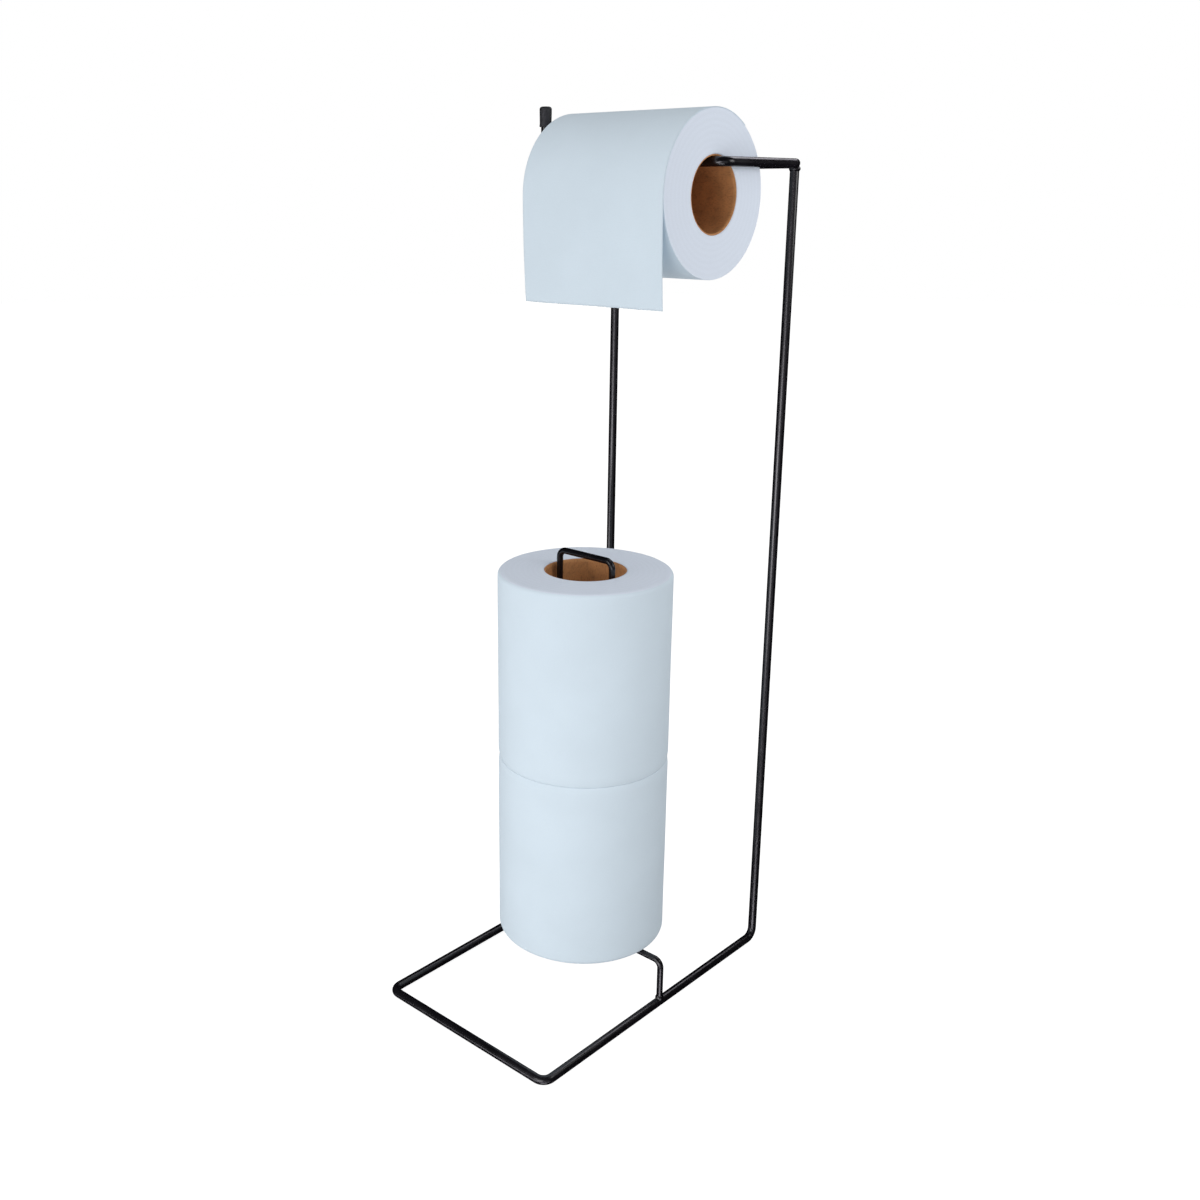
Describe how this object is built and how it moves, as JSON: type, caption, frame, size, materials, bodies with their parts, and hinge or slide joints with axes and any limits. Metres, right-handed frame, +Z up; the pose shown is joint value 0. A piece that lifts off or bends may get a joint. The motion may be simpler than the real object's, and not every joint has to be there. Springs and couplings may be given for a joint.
{
  "type": "toilet paper holder",
  "caption": "Free-standing bent-wire toilet paper holder with an open base, a capped roll bar and a spindle for spare rolls.",
  "frame": {"origin": "middle of the base wires on the floor", "axes": "+X to the right, towards the arm; +Y to the rear, where the posts stand; +Z up"},
  "size_m": [0.136, 0.209, 0.5205],
  "materials": {
    "black_wire": "gloss",
    "cap_rubber": "matte",
    "tissue": "matte",
    "core_board": "matte"
  },
  "bodies": {
    "frame": {"frame_wire": "black_wire", "top_wire": "black_wire", "spindle_wire": "black_wire", "tip_cap": "cap_rubber", "post_welds": "black_wire", "spindle_welds": "black_wire"},
    "tail": {"hanging_tail": "tissue"},
    "hanging_roll": {"hanging_paper": "tissue", "hanging_core": "core_board"},
    "lower_roll": {"lower_paper": "tissue", "lower_core": "core_board"},
    "upper_roll": {"upper_paper": "tissue", "upper_core": "core_board"}
  },
  "joints": [
    {"name": "roll_slide", "type": "slide", "parent": "frame", "child": "tail", "axis": [-1, 0, 0], "range_m": [0, 0.016]},
    {"name": "roll_spin", "type": "hinge", "parent": "tail", "child": "hanging_roll", "pos_m": [0.0132, 0.0295, 0.4723], "axis": [1, 0, 0], "continuous": true},
    {"name": "lower_lift", "type": "slide", "parent": "frame", "child": "lower_roll", "axis": [0, 0, 1], "range_m": [0, 0.01]},
    {"name": "upper_lift", "type": "slide", "parent": "lower_roll", "child": "upper_roll", "axis": [0, 0, 1], "range_m": [0, 0.128]}
  ]
}
